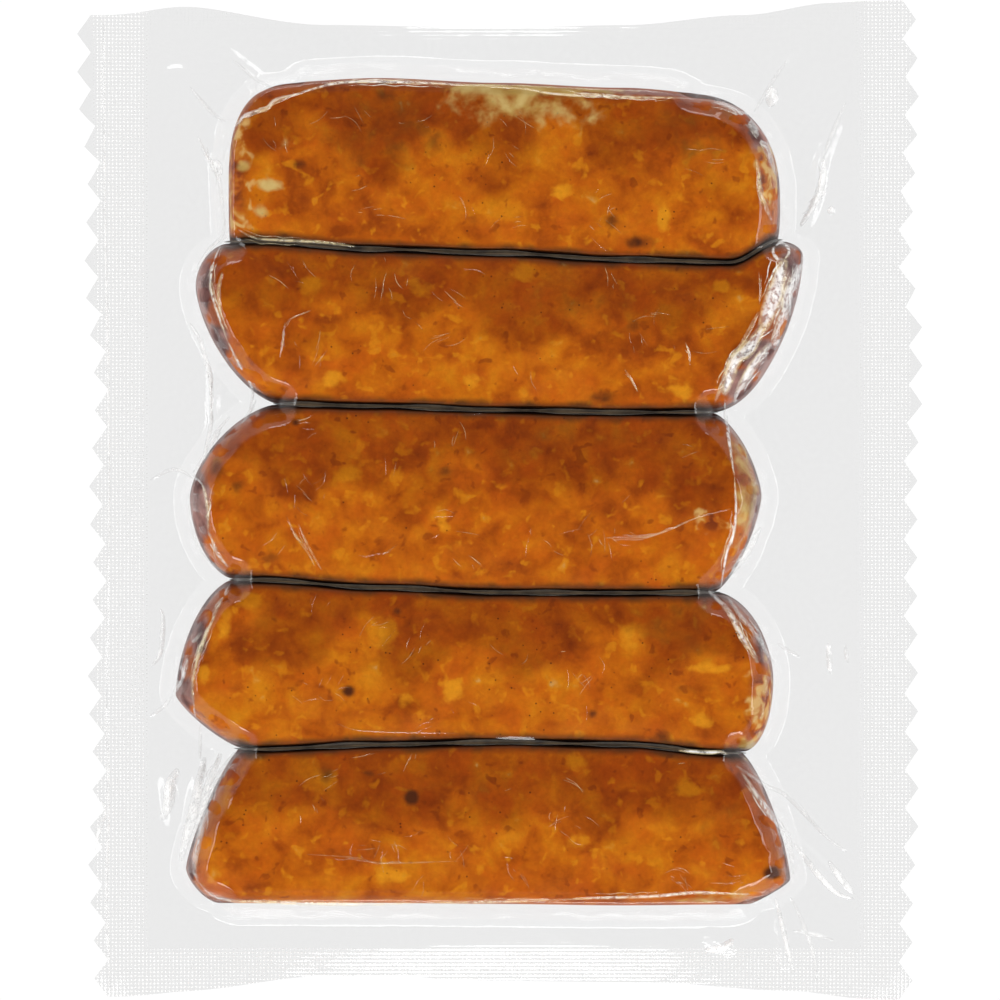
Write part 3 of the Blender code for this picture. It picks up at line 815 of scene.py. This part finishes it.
def sausage_material():
    """Smoked casing over coarse meat, nearly matt, as the gloss is the film's."""
    material, tree = new_material("smoked_casing")
    place = linked(tree, "TexCoord").outputs["Object"]
    textures = casing_textures(tree, place)
    colour = meat_colour(tree, place, textures)
    colour = patched_colour(tree, shaded_colour(tree, colour, textures), textures)
    bumps = linked(tree, "Bump", {"Height": textures.lumps, "Strength": 0.2, "Distance": 0.0005})
    sockets = {"Base Color": colour, "Roughness": 0.5, "Normal": bumps.outputs[0]}
    shader = linked(tree, "BsdfPrincipled", {**sockets, "IOR": 1.4, "Specular IOR Level": 0.12})
    put_out(tree, shader.outputs[0])
    return material


def juice_and_shade_material():
    """Dark olive meat juice with painted shade, set in the seams between the sausages, with paler threads
    that are a painted highlight of the film in the groove.
    """
    material, tree = new_material("seam_juice_and_shade")
    place = linked(tree, "TexCoord").outputs["Object"]
    streaks = noise(tree, place, 300.0, 3.0, 0.6)
    # Juice and painted shade: near black, as the deep groove gets little light
    colour = ramp(tree, streaks, JUICE_AND_SHADE_COLOURS)
    # Painted highlight: the film's reflection along the bottom of the groove
    thread = eased(tree, shade(tree, "thread"), 0.45, 0.85, 0.0, 0.40)
    colour = mixed(tree, thread, colour, rgb(0.16, 0.105, 0.06))
    shader = linked(tree, "BsdfPrincipled", {"Base Color": colour, "Roughness": 0.35})
    put_out(tree, shader.outputs[0])
    return material


def diamond_relief(tree, place):
    """Height of the small diamonds that the sealing bars press into the film."""
    axes = linked(tree, "SeparateXYZ", {0: place})
    turns_per_metre = 2.0 * np.pi / (DIAMOND_PITCH_METRES * np.sqrt(2.0))
    waves = []
    for operation in ("ADD", "SUBTRACT"):
        slanted = maths(tree, operation, axes.outputs[0], axes.outputs[1])
        waves.append(maths(tree, "SINE", maths(tree, "MULTIPLY", slanted, turns_per_metre)))
    return maths(tree, "MULTIPLY", waves[0], waves[1])


def film_normal(tree, place, pressed):
    """The film's normal with slight ripples and the pressed diamonds."""
    ripples = noise(tree, place, 90.0, 2.0, 0.5, 0.4)
    waves = linked(tree, "Bump", {"Height": ripples, "Strength": 0.3, "Distance": 0.0012})
    sockets = {"Height": pressed, "Strength": 0.25, "Distance": 0.00012, "Normal": waves.outputs[0]}
    return linked(tree, "Bump", sockets).outputs[0]


def film_haze_and_highlight(tree, place, pressed):
    """How white the film is: painted highlights on the creases, broken up finely, and the tops of the
    diamonds.
    """
    dots = maths(tree, "MULTIPLY", eased(tree, pressed, 0.40, 0.80), 0.45)
    crumpled = eased(tree, noise(tree, place, 800.0, 3.0, 0.6), 0.36, 0.58, 0.25, 1.0)
    return maths(tree, "MULTIPLY_ADD", shade(tree, "haze_and_highlight"), crumpled, dots, clamped=True)


def film_material():
    """Thin clear film: what is behind it shows, it mirrors lights sharply, and a hazy diffuse white paints
    highlights on the folds.
    """
    material, tree = new_material("clear_film")
    place = linked(tree, "TexCoord").outputs["Object"]
    pressed = maths(tree, "MULTIPLY", diamond_relief(tree, place), shade(tree, "seal"))
    normal = film_normal(tree, place, pressed)
    haze_and_highlight = film_haze_and_highlight(tree, place, pressed)
    facing = linked(tree, "LayerWeight", {"Blend": 0.5, "Normal": normal}).outputs["Facing"]
    glancing = maths(tree, "MULTIPLY", maths(tree, "POWER", facing, 5.0), 0.5)
    mirror = maths(tree, "ADD", glancing, 0.03, clamped=True)
    clear = linked(tree, "BsdfTransparent", {"Color": rgb(0.925, 0.925, 0.925)})
    # Colour of the painted highlights: pale, and warmer over the flat tops
    pale = mixed(tree, shade(tree, "warm"), rgb(0.90, 0.895, 0.88), rgb(0.90, 0.72, 0.40))
    white = linked(tree, "BsdfDiffuse", {"Color": pale, "Normal": normal})
    gloss = linked(tree, "BsdfGlossy", {"Color": rgb(1.0, 1.0, 1.0), "Roughness": 0.08, "Normal": normal})
    veiled = linked(tree, "MixShader", {0: haze_and_highlight, 1: clear.outputs[0], 2: white.outputs[0]})
    seen = linked(tree, "MixShader", {0: mirror, 1: veiled.outputs[0], 2: gloss.outputs[0]})
    passed = linked(tree, "BsdfTransparent", {"Color": rgb(0.90, 0.90, 0.90)})
    path = linked(tree, "LightPath").outputs
    unseen = maths(tree, "MAXIMUM", path["Is Shadow Ray"], path["Is Diffuse Ray"])
    shader = linked(tree, "MixShader", {0: unseen, 1: seen.outputs[0], 2: passed.outputs[0]})
    put_out(tree, shader.outputs[0])
    return material


def floor_material():
    """A pale studio floor lit from below, as even and white as the photograph's."""
    material, tree = new_material("studio_floor")
    glow = linked(tree, "Emission", {"Color": rgb(1.0, 1.0, 1.0), "Strength": FLOOR_GLOW})
    put_out(tree, glow.outputs[0])
    return material


class Spot(NamedTuple):
    """A soft round or oval patch of a sausage's surface: its centre, half sizes and strength."""

    x: float
    y: float
    half_x: float
    half_y: float
    depth: float = 1.0


def spots(*rows):
    return [Spot(*row) for row in rows]


FAT_SPOTS = spots(
    (-11.7, -4.8, 2.0, 2.4),
    (-19.2, -41.2, 2.8, 2.0),
    (-9.6, -39.1, 3.0, 2.6),
    (-22.7, -27.5, 2.2, 5.0),
    (-39.8, 43.9, 3.4, 2.2),
    (-15.8, 43.3, 3.5, 2.5),
    (-33.6, 24.7, 3.0, 2.4),
    (-5.5, 24.7, 2.6, 1.6),
    (4.8, 46.7, 3.4, 2.6),
    (37.0, 22.5, 4.0, 2.0, 0.8),
    (45.3, 43.9, 2.2, 1.8),
    (33.6, 57.1, 1.6, 3.0),
    (12.4, 63.2, 3.0, 2.0, 0.8),
    (-30.9, 5.5, 3.2, 2.2),
    (-51.5, -20.6, 3.0, 2.4),
    (-56.0, -25.0, 2.0, 4.0),
    (-60.5, -35.0, 1.4, 3.6),
    (27.8, -27.4, 3.5, 4.0, 0.8),
    (43.3, -34.4, 6.0, 1.2, 0.8),
    (41.8, -45.3, 3.0, 2.0),
    (-55.6, -59.1, 1.6, 4.0),
    (-22.7, -76.8, 4.0, 2.0, 0.8),
    (38.5, -59.1, 3.5, 2.0),
    (15.9, -70.0, 4.0, 2.5, 0.8),
    (15.0, -53.6, 3.0, 1.6),
    (54.4, 66.0, 1.6, 2.6),
    (-35.0, -57.0, 2.6, 2.6, 0.7),
)
DARK_SPOTS = spots(
    (-17.9, -60.8, 1.8, 1.6, 1.3),
    (-30.9, -39.1, 1.5, 1.3, 1.1),
    (-21.0, -22.7, 1.2, 1.0),
    (-10.9, 5.6, 2.6, 1.9, 0.7),
    (-41.8, 15.9, 1.1, 0.9),
    (-47.4, -11.7, 2.6, 1.5, 0.6),
    (-35.4, -55.6, 1.6, 2.2, 0.7),
    (-26.8, -56.0, 1.6, 1.0, 0.7),
    (18.9, -43.7, 1.2, 1.2, 0.9),
    (33.0, -48.0, 1.8, 1.4, 0.9),
    (38.5, -38.5, 5.0, 1.5, 0.5),
    (55.6, -76.2, 2.0, 1.5, 1.2),
    (23.0, 57.0, 1.8, 1.8, 0.8),
    (28.2, 52.6, 3.2, 1.6, 1.0),
    (27.4, 35.6, 1.9, 1.7, 0.7),
    (21.2, 21.2, 3.2, 1.8, 0.9),
    (-40.8, 68.6, 1.6, 1.1, 0.8),
    (-29.5, 69.4, 4.0, 3.0, 0.4),
    (-23.3, 82.5, 3.0, 2.0, 0.6),
    (-13.0, 73.5, 2.0, 4.0, 0.5),
    (-5.6, 57.1, 1.5, 1.2, 0.6),
    (-22.0, 76.0, 16.0, 9.0, 0.45),
    (40.0, 75.0, 13.0, 8.0, 0.45),
    (20.0, 40.0, 18.0, 6.0, 0.35),
    (14.0, 12.0, 22.0, 5.0, 0.35),
    (36.0, -26.0, 11.0, 7.0, 0.45),
    (-8.0, -60.0, 14.0, 5.0, 0.3),
    (46.0, -66.0, 6.0, 9.0, 0.35),
    (-57.8, 6.0, 1.8, 3.2, 0.8),
    (-53.6, 3.0, 2.2, 1.6, 0.7),
)
# Purple-brown sides of the ends, which bulge out past the flat tops: painted shade, and painted haze of the
# film over them
SIDE_SHADE_SPOTS = spots(
    (-61.6, 44.0, 3.4, 7.5),
    (-58.0, 32.0, 3.0, 5.0),
    (-61.8, -1.5, 2.8, 9.0),
    (-65.5, -40.0, 3.2, 5.0),
    (-61.5, -28.0, 2.4, 5.0, 0.8),
    (-64.0, -76.0, 2.2, 3.4),
    (-58.0, -83.0, 6.0, 1.6),
    (-15.0, -84.2, 60.0, 2.6, 0.45),
    (56.5, -84.0, 5.0, 2.0),
    (59.8, -74.0, 1.8, 9.0),
    (55.5, -29.5, 4.0, 6.0),
    (53.2, -4.0, 2.2, 9.0),
    (59.5, 44.0, 3.0, 8.5),
    (53.5, 29.5, 5.0, 3.6),
    (49.0, 23.5, 4.0, 3.6),
    (53.0, 76.0, 3.4, 4.6, 0.9),
    (33.0, 84.0, 16.0, 1.6, 0.8),
    (-28.0, 86.6, 16.0, 1.8, 0.9),
)
GEL_SPOTS = spots(
    (7.2, 85.0, 20.0, 3.2, 1.2),
    (4.0, 81.5, 19.0, 6.0, 0.7),
    (-52.5, 68.0, 2.0, 1.7),
    (-47.0, 64.2, 2.6, 1.5, 0.9),
    (-49.0, 59.1, 2.0, 2.0, 0.6),
    (-44.3, 72.5, 2.4, 1.4, 0.5),
    (42.0, -83.0, 11.0, 3.0, 0.6),
    (50.5, 4.0, 3.2, 13.0, 0.6),
    (50.4, -51.0, 2.4, 2.6),
)
RAW_SPOTS = spots(
    (-54.5, 66.0, 4.0, 14.0, 0.8),
    (-55.8, 67.0, 1.2, 14.0, 1.2),
    (54.5, 66.0, 2.6, 6.5),
    (53.2, -43.0, 3.6, 9.5),
    (43.5, -4.5, 3.4, 3.0, 0.8),
)


def spotted(spots, x, y):
    """How deep each point lies in any of the patches, 0 outside and full strength in the middle."""
    share = np.zeros(np.shape(x))
    for spot in spots:
        reach = np.hypot((x - spot.x) / spot.half_x, (y - spot.y) / spot.half_y)
        share = np.maximum(share, spot.depth * fade(reach, 1.6, 0.1))
    return share


def sausage_shades(k, place, x, y):
    """The painted shades of a sausage, which its material breaks up with its mottles."""
    across = across_of(k, x, y)
    # Painted light: 1 on the near half of the top, which the material paints lighter, broken by the relief
    near = fade(across + 1.2 * wave_sum(x, y, RELIEF), 0.38, -0.15)
    # Painted shade and haze on the sloping ends and sides, all round each end but the cut one
    rim = np.where((k == 0) & (x < 0.0), 0.0, fade(-place.end, 1.2, 0.3))
    on_top = fade(-place.seam, 0.2, 1.3)
    side_shade = np.maximum(spotted(SIDE_SHADE_SPOTS, x, y) * on_top, rim)
    # Painted shade towards the seams, weaker on the outer long sides
    edge = fade(-place.seam, 4.5, 0.2)
    if k == 0:
        edge = np.where(y > between_seams(k, x, 0.0), 0.35 * edge, edge)
    if k == len(SAUSAGES) - 1:
        edge = np.where(y < between_seams(k, x, 0.0), 0.35 * edge, edge)
    return {
        "near": near,
        "edge": edge,
        "side_shade": side_shade,
        "dark": spotted(DARK_SPOTS, x, y),
        "fat": spotted(FAT_SPOTS, x, y),
        "gel": spotted(GEL_SPOTS, x, y) * on_top,
        "raw": spotted(RAW_SPOTS, x, y) * on_top,
    }


def add_sausage(k, material):
    """One sausage as a closed pillow whose upper and lower grids share their outer rows and columns."""
    across = np.sin(np.linspace(0.5, -0.5, SAUSAGE_ROWS + 1) * np.pi)
    across = 0.55 * across + 0.45 * np.linspace(1.0, -1.0, SAUSAGE_ROWS + 1)
    turn = np.linspace(0.0, 1.0, SAUSAGE_COLUMNS + 1)
    along = 0.5 * turn + 0.5 * (0.5 - 0.5 * np.cos(np.pi * turn))
    left_x, right_x = left_end(k, across)[:, None], right_end(k, across)[:, None]
    x = left_x + (right_x - left_x) * along[None, :]
    y = between_seams(k, x, across[:, None])
    place = place_on(k, x, y)
    top, base = sausage_top(place, x, y), sausage_base(place, x, y)
    rows, columns = x.shape
    upper = np.stack([x, y, top], axis=-1).reshape(-1, 3)
    lower = np.stack([x, y, base], axis=-1).reshape(-1, 3)
    faces = np.concatenate([grid_faces(rows, columns), grid_faces(rows, columns, rows * columns, True)])
    rim = outline_of(rows, columns)
    shared = np.arange(2 * rows * columns)
    shared[rim + rows * columns] = rim
    points = np.concatenate([upper, lower])
    points[rim, 2] = rim_height(points[rim, 0], points[rim, 1])
    used, faces = np.unique(shared[faces], return_inverse=True)
    faces = faces.reshape(-1, 4)
    shades = sausage_shades(k, place, x, y)
    both = {}
    for name, values in shades.items():
        below = SHARE_BELOW if name in TOP_SHADES else 1.0
        both[name] = np.concatenate([values.ravel(), below * values.ravel()])[used]
    return mesh_piece(f"sausage_{k + 1}", points[used], faces, material, "sausage", **both)


def add_juice_and_shade(k, material):
    """The juice and painted shade along seam k, a flat dark ribbon just under the film that tapers at both
    ends.
    """
    start, end = LEFT_NOTCH_X[k] - 1.0, RIGHT_NOTCH_X[k] + 1.0
    x = np.linspace(start, end, JUICE_STATIONS)
    middle = seam_y(k, x)
    taper = np.sqrt(np.minimum(1.0, np.minimum(x - start, end - x) / JUICE_TAPER))
    wander = np.sin(x * 0.21 + 2.0 * k) * 0.12 + np.sin(x * 0.47 + k) * 0.08
    half = np.maximum(0.05, (JUICE_HALF_WIDTH + wander) * taper)
    columns = np.linspace(-1.0, 1.0, 9)
    grid_x = np.repeat(x[None, :], len(columns), axis=0)
    grid_y = middle[None, :] - columns[:, None] * half[None, :]
    top = film_top(grid_x, grid_y) - 1.2 * FILM_GAP
    rows, count = grid_x.shape
    upper = np.stack([grid_x, grid_y, top], axis=-1).reshape(-1, 3)
    lower = upper - [0.0, 0.0, JUICE_DEPTH]
    faces = [grid_faces(rows, count), grid_faces(rows, count, rows * count, True)]
    loop = outline_of(rows, count)
    following = np.roll(loop, -1)
    faces.append(np.stack([loop, following, following + rows * count, loop + rows * count], axis=-1))
    points = np.concatenate([upper, lower])
    # Painted highlight along the seam, a little off its middle
    off_thread = np.abs(columns - 0.25)[:, None] / 0.5
    thread = np.clip(1.0 - off_thread, 0.0, 1.0) * (0.75 + 0.25 * np.sin(x * 0.33 + k))
    both = np.concatenate([thread.ravel()] * 2)
    return mesh_piece(f"seam_juice_and_shade_{k}", points, np.concatenate(faces), material, "sausage", thread=both)


def film_shades(x, y, places):
    """Where the film is pressed by the sealing bars, and where it is hazy: not on the flat tops."""
    left_band = fade(x, *LEFT_SEAL_START) * fade(x, *LEFT_SEAL_END)
    right_band = fade(x, *RIGHT_SEAL_START) * fade(x, *RIGHT_SEAL_END)
    near_band = fade(y, *NEAR_SEAL_START)
    far_band = fade(y, *FAR_SEAL_START) * FAR_SEAL_DEPTH
    seal = np.maximum.reduce([left_band, right_band, near_band, far_band])
    off_tops = np.ones_like(x)
    for place in places:
        off_tops = np.minimum(off_tops, np.maximum(fade(place.end, -4.5, -1.0), fade(place.seam, 0.3, 1.5)))
    return {"seal": seal, "haze_and_highlight": FILM_HAZE * off_tops, "warm": 1.0 - off_tops}


def add_film(material):
    """Both webs of the bag, on one grid, so that they lie on each other in the rim."""
    x, y = film_grid()
    shades = film_shades(x, y, places_on(x, y))
    rows, columns = x.shape
    for name, height, flipped in (("film_top", film_top, False), ("film_base", film_base, True)):
        points = np.stack([x, y, height(x, y)], axis=-1).reshape(-1, 3)
        mesh_piece(name, points, grid_faces(rows, columns, 0, flipped), material, "film", **shades)


def beside(line):
    """Unit steps to the left of a line at each of its points."""
    run = np.gradient(line, axis=0)
    run /= np.maximum(np.hypot(run[:, 0], run[:, 1]), 1e-9)[:, None]
    return np.stack([-run[:, 1], run[:, 0]], axis=-1)


def strip(crease, columns):
    """Grid of one sharp crease: X, Y, its lift off the film and the whiteness of its painted highlight, in
    rows along it.
    """
    line = smooth_line(crease.points, CREASE_STEP)
    across = np.linspace(-1.0, 1.0, columns)
    taper = np.sin(np.pi * np.linspace(0.0, 1.0, len(line))) ** 0.6
    width = crease.half_width * (0.25 + 0.75 * taper)
    points = line[:, None, :] + beside(line)[:, None, :] * (width[:, None] * across)[:, :, None]
    ridge = taper[:, None] * (1.0 - np.abs(across))
    run = CREASE_STEP * np.arange(len(line)) + line[0, 0] + line[0, 1]
    broken = 0.85 + 0.15 * np.sin(0.9 * run) * np.sin(0.37 * run)
    white = crease.white * ridge**0.5 * broken[:, None]
    return points[..., 0], points[..., 1], crease.height * ridge, white


def strands_of(crease, draw):
    """The fine strands beside a crease, each along a part of it and drifting to one side."""
    line = smooth_line(crease.points, STRAND_STEP)
    aside = beside(line)
    spread = crease.half_width + 0.6
    strands = []
    for _ in range(crease.strands):
        start = int(draw.uniform(0.0, 0.55) * len(line))
        count = max(4, int(draw.uniform(0.25, 0.6) * len(line)))
        part, sideways = line[start : start + count], aside[start : start + count]
        drift = np.linspace(draw.uniform(-spread, spread), draw.uniform(-spread, spread), len(part))
        drift = drift + 0.15 * np.sin(np.arange(len(part)) * 1.3 + draw.uniform(0.0, 6.0))
        points = part + sideways * drift[:, None]
        # Painted highlight of the strand
        white = crease.white * draw.uniform(0.6, 1.1)
        strands.append(Crease(points[::2], draw.uniform(0.10, 0.28), draw.uniform(0.08, 0.3), white))
    return strands


def scratch_lines():
    """Short fine curved scratches in clusters, scattered over the flat tops, whitened as painted
    highlights.
    """
    draw = np.random.default_rng(SCRATCH_SEED)
    scratches = []
    while len(scratches) < SCRATCHES:
        k = int(draw.integers(len(SAUSAGES)))
        centre_x = draw.uniform(-50.0, 48.0)
        centre_y = float(between_seams(k, centre_x, draw.uniform(-0.78, 0.78)))
        heading = draw.normal(0.0, 0.5) + (np.pi / 2.0 if draw.uniform() < 0.45 else 0.0)
        for _ in range(int(draw.integers(1, 6))):
            x, y = centre_x + draw.normal(0.0, 2.0), centre_y + draw.normal(0.0, 1.4)
            turned = heading + draw.normal(0.0, 0.25)
            half = draw.uniform(0.5, 2.8)
            bend = draw.normal(0.0, 0.15)
            run_x, run_y = half * np.cos(turned), half * np.sin(turned)
            points = ((x - run_x, y - run_y), (x - bend * run_y, y + bend * run_x), (x + run_x, y + run_y))
            scratches.append(Crease(points, draw.uniform(0.06, 0.12), 0.03, draw.uniform(0.10, 0.40)))
    return scratches


def add_creases(material):
    """All the sharp creases, their strands and the scratches, lying on the film."""
    draw = np.random.default_rng(STRAND_SEED)
    fine = [strand for crease in CREASES for strand in strands_of(crease, draw)]
    strips = [strip(crease, CREASE_COLUMNS) for crease in CREASES]
    strips += [strip(crease, STRAND_COLUMNS) for crease in fine + scratch_lines()]
    faces = []
    count = 0
    for x, _, _, _ in strips:
        faces.append(grid_faces(*x.shape, count))
        count += x.size
    x, y, lift, white = (np.concatenate([part[i].ravel() for part in strips]) for i in range(4))
    points = np.stack([x, y, film_top(x, y) + 0.02 + lift], axis=-1)
    warm = film_shades(x, y, places_on(x, y))["warm"] * fade(white, 0.6, 0.35)
    shades = {"seal": np.zeros(count), "haze_and_highlight": white, "warm": warm}
    mesh_piece("film_creases", points, np.concatenate(faces), material, "film", **shades)


def add_light(name, azimuth, elevation, size, watts):
    """A rectangular soft light that faces the pack."""
    data = bpy.data.lights.new(name, "AREA")
    data.shape = "RECTANGLE"
    data.size, data.size_y = size
    data.energy = watts
    light = bpy.data.objects.new(name, data)
    bpy.context.scene.collection.objects.link(light)
    turn, rise = np.radians(azimuth), np.radians(elevation)
    place = Vector((np.sin(turn) * np.cos(rise), -np.cos(turn) * np.cos(rise), np.sin(rise)))
    light.location = place * LIGHT_DISTANCE_METRES
    light.rotation_euler = place.to_track_quat("Z", "Y").to_euler()


def add_world():
    """An even pale surround, darker overhead, so that the level film mirrors nothing bright."""
    world = bpy.data.worlds.new("studio")
    world.use_nodes = True
    tree = world.node_tree
    tree.nodes.clear()
    direction = linked(tree, "TexCoord").outputs["Generated"]
    upwards = linked(tree, "SeparateXYZ", {0: direction}).outputs["Z"]
    level = eased(tree, upwards, 0.45, 0.85, HORIZON_LEVEL, OVERHEAD_LEVEL)
    grey = linked(tree, "CombineXYZ", {"X": level, "Y": level, "Z": level}).outputs[0]
    background = linked(tree, "Background", {"Color": grey, "Strength": 1.0})
    output = linked(tree, "OutputWorld")
    tree.links.new(background.outputs[0], output.inputs["Surface"])
    bpy.context.scene.world = world


def add_camera():
    data = bpy.data.cameras.new("photograph")
    data.sensor_width = SENSOR_WIDTH
    data.lens = SENSOR_WIDTH * (CAMERA_HEIGHT - RIM_HEIGHT) / FRAME_WIDTH
    data.clip_end = 20.0
    camera = bpy.data.objects.new("photograph", data)
    camera.location = (0.0, 0.0, CAMERA_HEIGHT * METRES_PER_MM)
    bpy.context.scene.collection.objects.link(camera)
    bpy.context.scene.camera = camera


def add_floor():
    mesh = bpy.data.meshes.new("floor")
    half = FLOOR_HALF_WIDTH_METRES
    corners = [(-half, -half, 0.0), (half, -half, 0.0), (half, half, 0.0), (-half, half, 0.0)]
    mesh.from_pydata(corners, [], [(0, 1, 2, 3)])
    mesh.materials.append(floor_material())
    floor = bpy.data.objects.new("floor", mesh)
    floor.location.z = -FLOOR_GAP_METRES
    bpy.context.scene.collection.objects.link(floor)


clear_film = film_material()
casing = sausage_material()
juice = juice_and_shade_material()
for number in range(len(SAUSAGES)):
    add_sausage(number, casing)
for number in range(1, len(SAUSAGES)):
    add_juice_and_shade(number, juice)
add_film(clear_film)
add_creases(clear_film)

add_floor()
add_world()
add_camera()
for light_settings in LIGHTS:
    add_light(*light_settings)
bpy.context.scene.view_settings.view_transform = "Standard"
bpy.context.scene.view_settings.look = "None"
